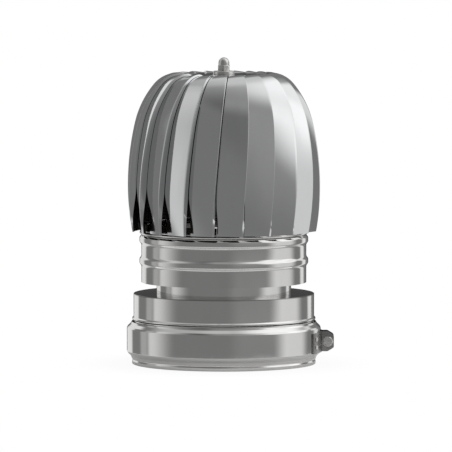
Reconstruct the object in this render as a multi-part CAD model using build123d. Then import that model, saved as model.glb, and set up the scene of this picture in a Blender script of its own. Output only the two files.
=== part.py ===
from build123d import *
from math import asin, cos, degrees, pi, radians, sin, sqrt
import os

# Rotating chimney cowl on a twin-wall flue end, in millimetres.
# The origin is on the flue axis at the lowest rim, +Z up, and the clamp of the locking band is at +X.

# Casing and adapter of the twin-wall flue
casing_radius = 100.0
casing_wall = 0.8
casing_length = 50.0
casing_bead_rise = 1.4
casing_bead_height = 4.0
casing_bead_lift = 3.5
adapter_ease = 0.2
adapter_socket_radius = casing_radius + adapter_ease
adapter_hem = 0.7
adapter_rim_radius = adapter_socket_radius + casing_wall + adapter_hem
adapter_rim_height = 3.5
adapter_neck_z = 5.0
joint_gap = 0.3

# Locking band, a flat-topped channel around the two joint beads
band_depth = 7.5
band_radius = casing_radius + band_depth
band_wall = 0.8
band_flat_foot = 13.4
band_flat_height = 27.4
band_flat_top = band_flat_foot + band_flat_height
band_foot_lip = 7.6
band_foot = band_flat_foot - band_foot_lip
band_top_lip = 6.1
band_top = band_flat_top + band_top_lip
adapter_reach = 13.5
casing_foot = band_flat_foot + adapter_reach
casing_top = casing_foot + casing_length
casing_bead_z = band_top + casing_bead_lift
band_gap = 14.0
band_ease = 0.8
band_corner = 1.1
band_shoulder_fall = 4.4
band_shoulder_rise = 4.2
band_lip_clearance = 0.6
fit_gap = 0.1

# Clamp of the band
ear_wall = 1.5
ear_spread = 7.2
ear_stand = 14.3
ear_reach = band_radius + ear_stand
ear_height = 22.4
ear_neck = 7.0
ear_root_gap = 0.4
clamp_lift = 11.6
clamp_z = band_flat_foot + clamp_lift
ear_tip_height = 14.0
ear_corner = 3.0
foot_angle = 25.0
clamp_bolt_radius = 3.0
clamp_bolt_stand = 7.7
clamp_bolt_x = band_radius + clamp_bolt_stand
clamp_bolt_clearance = 0.3
clamp_head_width = 10.0
clamp_head_height = 4.0
clamp_nut_height = 5.2
clamp_bolt_tail = 4.0
clamp_washer_radius = 6.0
clamp_washer_wall = 1.2
ear_rivet_radius = 1.6
ear_rivet_head_radius = 2.6
ear_rivet_head = 0.9
rivet_head_gap = 0.02
head_rounding = 0.6
ear_rivet_angle = 20.5
ear_rivet_pitch = 9.0

# Inner liner, insulation and top plate
insulation_depth = 24.7
liner_radius = casing_radius - casing_wall - insulation_depth
liner_wall = 0.6
liner_recess = 15.0
liner_foot = liner_recess
liner_rise = 27.1
liner_top = casing_top + liner_rise
socket_swell = 0.6
socket_radius = liner_radius + socket_swell
socket_depth = 40.0
socket_taper = 4.0
plate_wall = 0.8
plate_corner = 1.0
plate_skirt = 9.0
retainer_rim = 6.0

# Neck collar, which stays still under the turning head
collar_overhang = 16.8
collar_radius = liner_radius + collar_overhang
collar_wall = 0.8
collar_lift = 13.5
collar_foot = casing_top + collar_lift
collar_length = 52.8
collar_top = collar_foot + collar_length
collar_bead_rise = 1.9
collar_bead_height = 10.6
collar_lower_bead_lift = 23.8
collar_lower_bead_z = collar_foot + collar_lower_bead_lift
collar_upper_bead_z = collar_top - collar_bead_height / 2
closing_flange = 8.0

# Bearing carrier across the collar
bridge_width = 38.0
bridge_wall = 3.0
bridge_lift = 21.6
bridge_z = collar_foot + bridge_lift
bridge_tab = 16.0
bearing_outer_radius = 11.0
housing_wall = 3.0
housing_radius = bearing_outer_radius + housing_wall
housing_flange = 9.0
housing_flange_radius = housing_radius + housing_flange
housing_flange_wall = 2.5
housing_rivet_stand = 3.5
housing_rivet_x = housing_radius + housing_rivet_stand
housing_rivet_y = 6.5
housing_rivet_radius = 1.5
housing_rivet_head_radius = 2.6
housing_rivet_head = 1.0
bearing_bore = 4.0
bearing_height = 7.0
bearing_ball_radius = 1.98
bearing_pitch_radius = 7.5
bearing_balls = 7
groove_clearance = 0.07
race_shoulder = 1.4
bearing_drop = 12.0
lower_bearing_z = bridge_z - bearing_drop
bearing_spread = 29.0
upper_bearing_z = lower_bearing_z + bearing_spread
housing_rim = 2.6
housing_foot = lower_bearing_z - housing_rim
housing_top = upper_bearing_z + bearing_height + housing_rim
circlip_wall = 1.0
circlip_depth = 0.7
circlip_width = 2.3
circlip_gap_angle = 40.0
cage_wall = 0.7
cage_drop = 1.4
cage_rise = 3.0
spacer_radius = 5.9
running_gap = 0.05

# Turning head
shaft_radius = 4.0
shaft_tail = 2.0
shaft_thread = 10.0
sleeve_radius = 7.0
nut_width = 13.0
lower_nut_height = 8.0
shaft_foot = lower_bearing_z - lower_nut_height - shaft_tail
crown_plate_wall = 1.2
crown_pad_radius = 18.0
crown_pad_height = 1.8
cap_wall = 0.8
boss_radius = 12.0
boss_height = 3.6
dome_nut_hex = 6.5
dome_nut_height = 15.0
dome_nut_radius = 6.25
dome_nut_depth = 11.0
ring_setback = 1.1
ring_radius = collar_radius - ring_setback
ring_wall = 0.8
head_gap = 0.7
ring_foot = collar_top + head_gap
ring_height = 12.1
ring_top = ring_foot + ring_height
ring_roll = 1.55
roll_bite = 0.1

# Vanes: each rises from its inner edge to a proud ridge and turns back in as a flange
vane_count = 20
vane_wall = 0.6
foot_lift = 3.3
vane_foot = ring_foot + foot_lift
vane_depth = 8.0
vane_bulge = 0.3
vane_width_foot = 15.3
vane_width_crown = 15.7
flange_lean_foot = 1.4
flange_lean_crown = 1.9
flange_share_foot = 0.1
flange_clearance = 0.2
gap_closes = 0.27
vane_end_depth = 1.0
vane_end_inset = 6.0
vane_end_radius = crown_pad_radius + vane_end_inset
foot_azimuth = 10.6
twist_along = 8.4
twist_inward = 3.9
# The ridge of a vane runs over the head as four tangent arcs, given by radius and end slope.
# The last of them takes up what is left between the shoulder and the edge of the crown.
head_overhang = 16.8
head_radius = ring_radius + head_overhang
equator_lift = 47.8
equator_z = vane_foot + equator_lift
lower_arc = 270.0
upper_arc = 315.0
upper_slope = 13.2
shoulder_arc = 105.6
shoulder_slope = 39.7
cap_radius = 40.0
plate_margin = 6.0
crown_plate_radius = cap_radius + plate_margin
crown_run = 11.7258
crown_radius = cap_radius + crown_run
crown_seat = 5.5912
cap_clearance = 0.5
crown_dip_end = cap_radius + cap_clearance
dip_run = 0.06
body_sections = 17
dip_sections = 3
# Lug of a vane: a leg from its inner edge to the ring and a tab that lies on the ring
lug_drop = 0.4
lug_top = ring_top - lug_drop
lug_inset = 0.25
lug_tab_angle = 2.7
lug_root_low = 0.2
lug_root_high = 0.05


def revolved(points):
    """Ring or disc from a closed outline of (radius, height) points."""
    outline = Plane.XZ * Polyline(*points, close=True)
    return revolve(make_face(outline), Axis.Z)


def tube(outer, inner, low, high):
    """Plain tube or washer about the flue axis."""
    return revolved([(inner, low), (outer, low), (outer, high), (inner, high)])


def sheet_section(start, steps, wall):
    """Closed section of a rolled sheet: each step is (end,) for a straight or (crest, end) for a bead."""
    edges = []
    for shift in (0.0, -wall):
        here = (start[0] + shift, start[1])
        for step in steps:
            points = [(radius + shift, height) for radius, height in step]
            if len(points) == 1:
                edges.append(Line(here, points[0]))
            else:
                edges.append(ThreePointArc(here, points[0], points[1]))
            here = points[-1]
    end = steps[-1][-1]
    edges.append(Line(start, (start[0] - wall, start[1])))
    edges.append(Line(end, (end[0] - wall, end[1])))
    return make_face(Plane.XZ * Curve(edges))


def sheet_ring(start, steps, wall):
    """Rolled sheet ring: the section turned once round the flue axis."""
    return revolve(sheet_section(start, steps, wall), Axis.Z)


def hexagon(width, height):
    """Hexagonal prism standing on its base, with the given width across flats."""
    return extrude(RegularPolygon(width / sqrt(3), 6), height)


# Twin-wall flue end

joint_crest = band_radius - band_wall - fit_gap
adapter_radius = adapter_socket_radius + casing_wall
casing_end = casing_foot - joint_gap


def make_adapter_ring():
    """Lower casing ring: a socket with a hemmed rim for the flue pipe below, and the lower joint bead."""
    ring = sheet_ring(
        (adapter_radius, 0.0),
        [
            ((adapter_radius, band_flat_foot),),
            ((joint_crest, (band_flat_foot + casing_end) / 2), (adapter_radius, casing_end)),
        ],
        casing_wall,
    )
    hem = revolved([
        (adapter_radius, 0.0),
        (adapter_rim_radius, 0.0),
        (adapter_rim_radius, adapter_rim_height),
        (adapter_radius, adapter_neck_z),
    ])
    return ring + hem


def make_outer_casing():
    """Outer casing of the terminal: upper joint bead at its foot, a stiffening bead and a plain wall."""
    bead_low = casing_bead_z - casing_bead_height / 2
    bead_high = casing_bead_z + casing_bead_height / 2
    return sheet_ring(
        (casing_radius, casing_foot),
        [
            ((joint_crest, (casing_foot + band_flat_top) / 2), (casing_radius, band_flat_top)),
            ((casing_radius, bead_low),),
            ((casing_radius + casing_bead_rise, casing_bead_z), (casing_radius, bead_high)),
            ((casing_radius, casing_top),),
        ],
        casing_wall,
    )


def make_top_plate():
    """Lid over the insulation: a rounded edge on the casing and a skirt joggled inside it."""
    plate_top = casing_top + plate_corner
    skirt_radius = casing_radius - casing_wall - fit_gap
    inner = liner_radius + fit_gap
    corner = plate_corner * (1 - sqrt(0.5))
    low = plate_top - plate_wall
    edges = [
        Line((inner, plate_top), (casing_radius - plate_corner, plate_top)),
        ThreePointArc(
            (casing_radius - plate_corner, plate_top),
            (casing_radius - corner, plate_top - corner),
            (casing_radius, casing_top),
        ),
        Line((casing_radius, casing_top), (skirt_radius, casing_top)),
        Line((skirt_radius, casing_top), (skirt_radius, casing_top - plate_skirt)),
        Line((skirt_radius, casing_top - plate_skirt), (skirt_radius - plate_wall, casing_top - plate_skirt)),
        Line((skirt_radius - plate_wall, casing_top - plate_skirt), (skirt_radius - plate_wall, low)),
        Line((skirt_radius - plate_wall, low), (inner, low)),
        Line((inner, low), (inner, plate_top)),
    ]
    return revolve(make_face(Plane.XZ * Curve(edges)), Axis.Z)


def make_inner_liner():
    """Flue liner: a socket for the pipe below, a short taper, then the pipe up into the collar."""
    socket_outer = socket_radius + liner_wall
    socket_top = liner_foot + socket_depth
    return sheet_ring(
        (socket_outer, liner_foot),
        [
            ((socket_outer, socket_top),),
            ((liner_radius, socket_top + socket_taper),),
            ((liner_radius, liner_top),),
        ],
        liner_wall,
    )


retainer_z = liner_foot + socket_depth + socket_taper + joint_gap
insulation_outer = casing_radius - casing_wall - fit_gap
insulation_inner = liner_radius + fit_gap


def make_insulation_retainer():
    """Pressed ring between liner and casing, with a turned-down rim, which carries the wool."""
    plate = tube(insulation_outer, insulation_inner, retainer_z, retainer_z + plate_wall)
    rim = tube(insulation_outer, insulation_outer - plate_wall, retainer_z - retainer_rim, retainer_z)
    return plate + rim


def make_insulation():
    """Mineral wool ring around the liner, stepped in at the top to clear the skirt of the lid."""
    low = retainer_z + plate_wall
    step = casing_top - plate_skirt - fit_gap
    top = casing_top + plate_corner - plate_wall
    upper_radius = insulation_outer - plate_wall - fit_gap
    return revolved([
        (insulation_inner, low),
        (insulation_outer, low),
        (insulation_outer, step),
        (upper_radius, step),
        (upper_radius, top),
        (insulation_inner, top),
    ])


# Locking band and its clamp


def make_locking_band():
    """Channel-section band, rolled open at its clamp, with a turned lip along each edge."""
    lip_radius = casing_radius + casing_wall + band_wall + band_lip_clearance
    foot_lip = adapter_radius + band_wall + fit_gap
    corner_radius = band_radius - band_corner
    shoulder_radius = band_radius - band_shoulder_fall
    gap_angle = degrees(band_gap / band_radius)
    section = sheet_section(
        (foot_lip, band_foot),
        [
            ((shoulder_radius, band_flat_foot - band_shoulder_fall),),
            ((corner_radius, band_flat_foot - band_corner),),
            ((band_radius, band_flat_foot + band_ease),),
            ((band_radius, band_flat_top - band_ease),),
            ((corner_radius, band_flat_top + band_corner),),
            ((shoulder_radius, band_flat_top + band_shoulder_rise),),
            ((lip_radius, band_top),),
        ],
        band_wall,
    )
    band = revolve(section, Axis.Z, revolution_arc=360 - gap_angle)
    return Rot(0, 0, gap_angle / 2) * band


def bolt_axis(y):
    """Plane across the clamp bolt at the given y, with its normal along -Y."""
    return Plane(origin=(clamp_bolt_x, y, clamp_z), x_dir=(1, 0, 0), z_dir=(0, -1, 0))


ear_foot_radius = band_radius + fit_gap
ear_back = ear_spread + ear_wall


def make_clamp_ear():
    """Front ear: a foot curved to the band and a plate that stands out beside the gap."""
    foot_section = Plane.XZ * Pos(ear_foot_radius + ear_wall / 2, clamp_z) * Rectangle(ear_wall, ear_height)
    start_angle = degrees(ear_spread / ear_foot_radius)
    foot = revolve(foot_section, Axis.Z, revolution_arc=foot_angle - start_angle)
    foot = Rot(0, 0, -foot_angle) * foot
    root = sqrt(ear_foot_radius ** 2 - ear_spread ** 2) + ear_root_gap
    half_root = ear_height / 2
    half_tip = ear_tip_height / 2
    outline = Polyline(
        (root, -half_root),
        (root + ear_neck, -half_root),
        (ear_reach, -half_tip),
        (ear_reach, half_tip),
        (root + ear_neck, half_root),
        (root, half_root),
        close=True,
    )
    face = make_face(outline)
    face = fillet(face.vertices().filter_by(lambda v: v.X > root + 1), ear_corner)
    front = Plane(origin=(0, -ear_spread, clamp_z), x_dir=(1, 0, 0), z_dir=(0, -1, 0))
    plate = extrude(front * face, ear_wall)
    bore = Circle(clamp_bolt_radius + clamp_bolt_clearance)
    hole = extrude(bolt_axis(-ear_spread + 1) * bore, ear_wall + 2)
    ear = foot + plate - hole
    for step in (-0.5, 0.5):
        ear -= ear_rivet(step, ear_rivet_radius + fit_gap, 0)
    return ear


def ear_rivet(step, radius, head):
    """Rivet that pins the foot of the front ear to the band, or its plain hole where head is 0."""
    angle = -ear_rivet_angle
    direction = Vector(cos(radians(angle)), sin(radians(angle)), 0)
    height = clamp_z + step * ear_rivet_pitch
    inner = band_radius - band_wall
    start = direction * inner + Vector(0, 0, height)
    across = Plane(origin=start, z_dir=direction)
    length = ear_foot_radius + ear_wall - inner
    if not head:
        return extrude(across * Circle(radius), length + 1)
    shank = extrude(across * Circle(radius), length + rivet_head_gap)
    button = Plane(origin=start + direction * (length + rivet_head_gap), z_dir=direction) * Cylinder(
        head, ear_rivet_head, align=(Align.CENTER, Align.CENTER, Align.MIN)
    )
    button = fillet(button.edges().sort_by_distance(start)[-1], ear_rivet_head * head_rounding)
    return shank + button


def mirrored(shape):
    """The same piece on the other side of the clamp gap."""
    return mirror(shape, Plane.XZ)


def make_ear_rivets():
    """Four rivets, two through each foot of the clamp."""
    front = [ear_rivet(step, ear_rivet_radius, ear_rivet_head_radius) for step in (-0.5, 0.5)]
    return Compound(children=front + [mirrored(rivet) for rivet in front])


def make_clamp_bolt():
    """Hexagon-head bolt across both ears, its head towards -Y."""
    washer_outer = ear_back + clamp_washer_wall
    tail = washer_outer + clamp_nut_height + clamp_bolt_tail
    shank = extrude(bolt_axis(tail) * Circle(clamp_bolt_radius), tail + washer_outer)
    shank = chamfer(shank.edges().sort_by(Axis.Y)[-1], clamp_bolt_radius * 0.2)
    across = RegularPolygon(clamp_head_width / sqrt(3), 6)
    head = extrude(bolt_axis(-washer_outer) * across, clamp_head_height)
    bevel = bolt_axis(-washer_outer) * Cone(
        clamp_head_width / sqrt(3) + clamp_head_height,
        clamp_head_width / 2 * 0.95,
        clamp_head_height,
        align=(Align.CENTER, Align.CENTER, Align.MIN),
    )
    return shank + (head & bevel)


def make_clamp_nut():
    """Hexagon nut on the clamp bolt, behind the rear ear."""
    start = ear_back + clamp_washer_wall + clamp_nut_height
    nut = extrude(bolt_axis(start) * RegularPolygon(clamp_head_width / sqrt(3), 6), clamp_nut_height)
    return nut - extrude(bolt_axis(start + 1) * Circle(clamp_bolt_radius + running_gap), clamp_nut_height + 2)


def make_clamp_washers():
    """Plain washers under the head and under the nut."""
    face = Circle(clamp_washer_radius) - Circle(clamp_bolt_radius + clamp_bolt_clearance)
    front = extrude(bolt_axis(-ear_back) * face, clamp_washer_wall)
    return Compound(children=[front, mirrored(front)])


def cut_rivet_holes(band):
    """The band with the four rivet holes of its clamp."""
    for step in (-0.5, 0.5):
        hole = ear_rivet(step, ear_rivet_radius + fit_gap, 0)
        band = band - hole - mirrored(hole)
    return band


# Neck collar and the bearing carrier inside it


def make_neck_collar():
    """Fixed collar under the head, with a bead at half height and a larger one near its top."""
    half = collar_bead_height / 2
    crest = collar_radius + collar_bead_rise
    return sheet_ring(
        (collar_radius, collar_foot),
        [
            ((collar_radius, collar_lower_bead_z - half),),
            ((crest, collar_lower_bead_z), (collar_radius, collar_lower_bead_z + half)),
            ((collar_radius, collar_upper_bead_z - half),),
            ((crest, collar_upper_bead_z), (collar_radius, collar_top)),
        ],
        collar_wall,
    )


def make_closing_ring():
    """Pressed ring that carries the collar on the liner, with an upturned flange against each."""
    outer = collar_radius - collar_wall - fit_gap
    inner = liner_radius + fit_gap
    top = collar_foot + plate_wall + closing_flange
    return (
        tube(outer, inner, collar_foot, collar_foot + plate_wall)
        + tube(outer, outer - plate_wall, collar_foot, top)
        + tube(inner + plate_wall, inner, collar_foot, top)
    )


bridge_top = bridge_z + bridge_wall
housing_bore = bearing_outer_radius + running_gap


def make_bearing_bridge():
    """Flat bar across the collar, with upturned tabs that are curved to the collar's wall."""
    reach = collar_radius - collar_wall - fit_gap
    bar = Pos(0, 0, bridge_z + bridge_wall / 2) * Box(2 * reach, bridge_width, bridge_wall)
    tab_inner = sqrt(reach ** 2 - (bridge_width / 2) ** 2) - bridge_wall
    tab_width = reach - tab_inner
    bridge = bar
    for side in (-1, 1):
        tab = Pos(side * (tab_inner + tab_width / 2), 0, bridge_z + bridge_tab / 2)
        bridge += tab * Box(tab_width, bridge_width, bridge_tab)
    bridge &= Pos(0, 0, bridge_z + bridge_tab / 2) * Cylinder(reach, bridge_tab * 2)
    bridge -= Pos(0, 0, bridge_z) * Cylinder(housing_radius + fit_gap, bridge_wall * 4)
    return bridge - rivet_holes(bridge_z - 1, bridge_wall + 2)


def rivet_places():
    """Places of the housing rivets, on the line of the bar."""
    return [(housing_rivet_x * side, housing_rivet_y * across) for side in (-1, 1) for across in (-1, 1)]


def rivet_holes(low, depth):
    """Holes for the housing rivets."""
    radius = housing_rivet_radius + fit_gap
    return [Pos(x, y, low + depth / 2) * Cylinder(radius, depth) for x, y in rivet_places()]


def make_bearing_housing():
    """Bearing tube with a flange on the bar, a shoulder between the bearings and two circlip grooves."""
    low_seat = lower_bearing_z + bearing_height
    high_seat = upper_bearing_z
    groove = housing_bore + circlip_depth
    land = housing_bore - race_shoulder
    low_groove = lower_bearing_z - circlip_wall - fit_gap
    high_groove = upper_bearing_z + bearing_height + circlip_wall + fit_gap
    return revolved([
        (housing_bore, housing_foot),
        (housing_radius, housing_foot),
        (housing_radius, bridge_top),
        (housing_flange_radius, bridge_top),
        (housing_flange_radius, bridge_top + housing_flange_wall),
        (housing_radius, bridge_top + housing_flange_wall),
        (housing_radius, housing_top),
        (housing_bore, housing_top),
        (housing_bore, high_groove),
        (groove, high_groove),
        (groove, high_groove - circlip_wall - fit_gap),
        (housing_bore, high_groove - circlip_wall - fit_gap),
        (housing_bore, high_seat),
        (land, high_seat),
        (land, low_seat),
        (housing_bore, low_seat),
        (housing_bore, low_groove + circlip_wall + fit_gap),
        (groove, low_groove + circlip_wall + fit_gap),
        (groove, low_groove),
        (housing_bore, low_groove),
    ]) - rivet_holes(bridge_top - 1, housing_flange_wall + 2)


def make_housing_rivets():
    """Four rivets through the flange and the bar, with a button head above and below."""
    grip = bridge_wall + housing_flange_wall
    rivets = []
    for x, y in rivet_places():
        shank = Pos(x, y, bridge_z + grip / 2) * Cylinder(housing_rivet_radius, grip)
        for low in (bridge_z - housing_rivet_head, bridge_z + grip):
            button = Cylinder(housing_rivet_head_radius, housing_rivet_head)
            shank += Pos(x, y, low + housing_rivet_head / 2) * button
        rivets.append(shank)
    return Compound(children=rivets)


bearing_places = (lower_bearing_z, upper_bearing_z)
groove_radius = bearing_ball_radius + groove_clearance


def make_outer_races():
    """Outer races of both ball bearings."""
    inner = bearing_pitch_radius + race_shoulder
    races = []
    for low in bearing_places:
        race = tube(bearing_outer_radius, inner, low, low + bearing_height)
        races.append(race - Pos(0, 0, low + bearing_height / 2) * Torus(bearing_pitch_radius, groove_radius))
    return Compound(children=races)


def make_inner_races():
    """Inner races of both ball bearings, on the shaft."""
    outer = bearing_pitch_radius - race_shoulder
    races = []
    for low in bearing_places:
        race = tube(outer, bearing_bore + running_gap, low, low + bearing_height)
        races.append(race - Pos(0, 0, low + bearing_height / 2) * Torus(bearing_pitch_radius, groove_radius))
    return Compound(children=races)


def ball_centres():
    """Centres of the balls of both bearings."""
    centres = []
    for low in bearing_places:
        for index in range(bearing_balls):
            angle = 2 * pi * index / bearing_balls
            x = bearing_pitch_radius * cos(angle)
            y = bearing_pitch_radius * sin(angle)
            centres.append((x, y, low + bearing_height / 2))
    return centres


def make_bearing_balls():
    """Balls of both bearings."""
    return Compound(children=[Pos(*centre) * Sphere(bearing_ball_radius) for centre in ball_centres()])


def make_ball_cages():
    """Crown cages that keep the balls evenly spaced."""
    cages = []
    for low in bearing_places:
        middle = low + bearing_height / 2
        cages.append(tube(
            bearing_pitch_radius + cage_wall / 2,
            bearing_pitch_radius - cage_wall / 2,
            middle - cage_drop,
            middle + cage_rise,
        ))
    for centre in ball_centres():
        pocket = Pos(*centre) * Sphere(groove_radius)
        for index, cage in enumerate(cages):
            if abs(cage.center().Z - centre[2]) < bearing_height:
                cages[index] = cage - pocket
    return Compound(children=cages)


def make_circlips():
    """Split rings that hold the outer races against the shoulder."""
    section_low = lower_bearing_z - circlip_wall - fit_gap / 2
    section_high = upper_bearing_z + bearing_height + fit_gap / 2
    outer = housing_bore + circlip_depth - running_gap
    clips = []
    for low in (section_low, section_high):
        section = Plane.XZ * Pos(outer - circlip_width / 2, low + circlip_wall / 2) * Rectangle(
            circlip_width, circlip_wall
        )
        clips.append(revolve(section, Axis.Z, revolution_arc=360 - circlip_gap_angle))
    return Compound(children=clips)


# Shaft and crown of the turning head



def head_arcs():
    """Arcs of the ridge above the equator, each with its radius and its end slope."""
    arcs = [(upper_arc, upper_slope), (shoulder_arc, shoulder_slope)]
    radius, slope = head_radius, 0.0
    for arc, end in arcs:
        radius += arc * (cos(radians(end)) - cos(radians(slope)))
        slope = end
    return arcs + [((radius - crown_radius) / cos(radians(slope)), 90.0)]


def crown_height():
    """Height where the last arc of the ridge turns level."""
    height, slope = equator_z, 0.0
    for arc, end in ridge_arcs:
        height += arc * (sin(radians(end)) - sin(radians(slope)))
        slope = end
    return height


ridge_arcs = head_arcs()
crown_z = crown_height()
crown_plate_z = crown_z - crown_seat
plate_high = crown_plate_z + crown_plate_wall
cap_z = plate_high + crown_pad_height
boss_foot = cap_z + cap_wall
nut_foot = boss_foot + boss_height
shaft_top = nut_foot + shaft_thread
shaft_fit = shaft_radius + running_gap


def make_rotor_shaft():
    """Shaft from the lock nut under the lower bearing to the dome nut on the crown."""
    shaft = Pos(0, 0, (shaft_foot + shaft_top) / 2) * Cylinder(shaft_radius, shaft_top - shaft_foot)
    ends = shaft.edges().group_by(Axis.Z)
    return chamfer(ends[0] + ends[-1], shaft_radius * 0.15)


def make_lower_lock_nut():
    """Lock nut that closes the stack under the lower bearing."""
    low = lower_bearing_z - lower_nut_height
    nut = Pos(0, 0, low) * hexagon(nut_width, lower_nut_height)
    return nut - Pos(0, 0, low) * Cylinder(shaft_fit, lower_nut_height * 4)


def make_bearing_spacer():
    """Spacer between the two inner races."""
    return tube(spacer_radius, shaft_fit, lower_bearing_z + bearing_height, upper_bearing_z)


def make_rotor_sleeve():
    """Long sleeve that carries the crown on the upper bearing."""
    return tube(sleeve_radius, shaft_fit, upper_bearing_z + bearing_height, crown_plate_z)


def make_crown_plate():
    """Disc under the vane ends, with a raised pad in the middle that sets the space for them."""
    return revolved([
        (shaft_fit, crown_plate_z),
        (crown_plate_radius, crown_plate_z),
        (crown_plate_radius, plate_high),
        (crown_pad_radius, plate_high),
        (crown_pad_radius, cap_z),
        (shaft_fit, cap_z),
    ])


def make_crown_cap():
    """Disc that clamps the vane ends from above, with an eased edge."""
    cap = tube(cap_radius, shaft_fit, cap_z, boss_foot)
    return fillet(cap.edges().group_by(Axis.Z)[-1].sort_by(SortBy.LENGTH)[-1], cap_wall * 0.6)


def make_crown_boss():
    """Turned boss under the dome nut."""
    boss = tube(boss_radius, shaft_fit, boss_foot, nut_foot)
    return chamfer(boss.edges().group_by(Axis.Z)[-1].sort_by(SortBy.LENGTH)[-1], boss_height * 0.2)


def make_dome_nut():
    """Cap nut: a hexagon with a domed top and a blind hole for the shaft."""
    nut = Pos(0, 0, nut_foot) * hexagon(nut_width, dome_nut_hex)
    corner = nut_width / sqrt(3)
    bevel = Pos(0, 0, nut_foot) * Cone(
        corner + dome_nut_hex, nut_width / 2, dome_nut_hex, align=(Align.CENTER, Align.CENTER, Align.MIN)
    )
    dome_base = nut_foot + dome_nut_hex
    straight = dome_nut_height - dome_nut_hex - dome_nut_radius
    stem = Pos(0, 0, dome_base + straight / 2) * Cylinder(dome_nut_radius, straight)
    dome = Pos(0, 0, dome_base + straight) * Sphere(dome_nut_radius)
    dome &= Pos(0, 0, dome_base + straight + dome_nut_radius) * Box(
        3 * dome_nut_radius, 3 * dome_nut_radius, 2 * dome_nut_radius
    )
    hole = Pos(0, 0, nut_foot + dome_nut_depth / 2) * Cylinder(shaft_fit, dome_nut_depth)
    return (nut & bevel) + stem + dome - hole


def make_rotor_ring():
    """Ring at the foot of the head, its lower edge rolled outward round a wire over the running gap."""
    inner = ring_radius - ring_wall
    roll_radius = ring_radius + ring_roll - roll_bite
    roll_z = ring_foot + ring_roll
    seam = roll_z + sqrt(ring_roll ** 2 - (ring_roll - roll_bite) ** 2)
    bend = ring_wall * sqrt(0.5)
    edges = [
        Line((inner, ring_top), (ring_radius, ring_top)),
        Line((ring_radius, ring_top), (ring_radius, seam)),
        ThreePointArc((ring_radius, seam), (roll_radius + ring_roll, roll_z), (roll_radius, ring_foot)),
        Line((roll_radius, ring_foot), (ring_radius, ring_foot)),
        ThreePointArc(
            (ring_radius, ring_foot),
            (ring_radius - bend, ring_foot + ring_wall - bend),
            (inner, ring_foot + ring_wall),
        ),
        Line((inner, ring_foot + ring_wall), (inner, ring_top)),
    ]
    return revolve(make_face(Plane.XZ * Curve(edges)), Axis.Z)


# Vanes


def offset_corner(before, here, after, distance):
    """Corner of a folded sheet's inner side: the fold moved in by the wall along both neighbours."""
    in_x, in_y = here[0] - before[0], here[1] - before[1]
    out_x, out_y = after[0] - here[0], after[1] - here[1]
    in_length = sqrt(in_x ** 2 + in_y ** 2)
    out_length = sqrt(out_x ** 2 + out_y ** 2)
    normal_in = (in_y / in_length, -in_x / in_length)
    normal_out = (out_y / out_length, -out_x / out_length)
    scale = distance / (1 + normal_in[0] * normal_out[0] + normal_in[1] * normal_out[1])
    move_x = scale * (normal_in[0] + normal_out[0])
    move_y = scale * (normal_in[1] + normal_out[1])
    return (here[0] + move_x, here[1] + move_y)


def offset_end(before, here, distance):
    """End of a folded sheet's inner side, square to its last run."""
    run_x, run_y = here[0] - before[0], here[1] - before[1]
    length = sqrt(run_x ** 2 + run_y ** 2)
    return (here[0] + distance * run_y / length, here[1] - distance * run_x / length)


foot_slope = degrees(asin((equator_z - vane_foot) / lower_arc))
arc_lengths = [lower_arc * radians(foot_slope)]
for arc_index, (arc, end) in enumerate(ridge_arcs):
    start = ridge_arcs[arc_index - 1][1] if arc_index else 0.0
    arc_lengths.append(arc * radians(end - start))
ridge_length = sum(arc_lengths)
vane_end_z = plate_high + vane_wall + vane_end_depth


def ridge_point(run):
    """Radius, height and tilt of the section at a length along the ridge: level up to the equator."""
    if run <= arc_lengths[0]:
        slope = radians(foot_slope) - run / lower_arc
        radius = head_radius - lower_arc * (1 - cos(slope))
        return radius, equator_z - lower_arc * sin(slope), 0.0
    run -= arc_lengths[0]
    radius, height, slope = head_radius, equator_z, 0.0
    for arc, end in ridge_arcs:
        reach = min(end, slope + degrees(run / arc))
        radius += arc * (cos(radians(reach)) - cos(radians(slope)))
        height += arc * (sin(radians(reach)) - sin(radians(slope)))
        if reach < end:
            return radius, height, reach
        run -= arc * radians(end - slope)
        slope = end
    return radius, height, slope


def closing(share):
    """How far the slot between neighbouring vanes has closed: 0 at the foot, 1 from the waist up."""
    return sin(pi / 2 * min(1.0, share / gap_closes)) ** 2


def ridge_azimuth(share, radius):
    """Turn of the ridge about the flue axis."""
    return foot_azimuth + twist_along * share + twist_inward * (head_radius / radius - 1)


def face_width(share):
    """Angle that the face spans, from its inner edge to the ridge."""
    return vane_width_foot + (vane_width_crown - vane_width_foot) * closing(share)


def edge_depth(share):
    """Depth of the inner edge below the ridge, square to the head."""
    equator = arc_lengths[0] / ridge_length
    if share <= equator:
        return vane_depth
    fall = cos(pi / 2 * min(1.0, (share - equator) / (1 + dip_run - equator)))
    return vane_end_depth + (vane_depth - vane_end_depth) * fall


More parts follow.
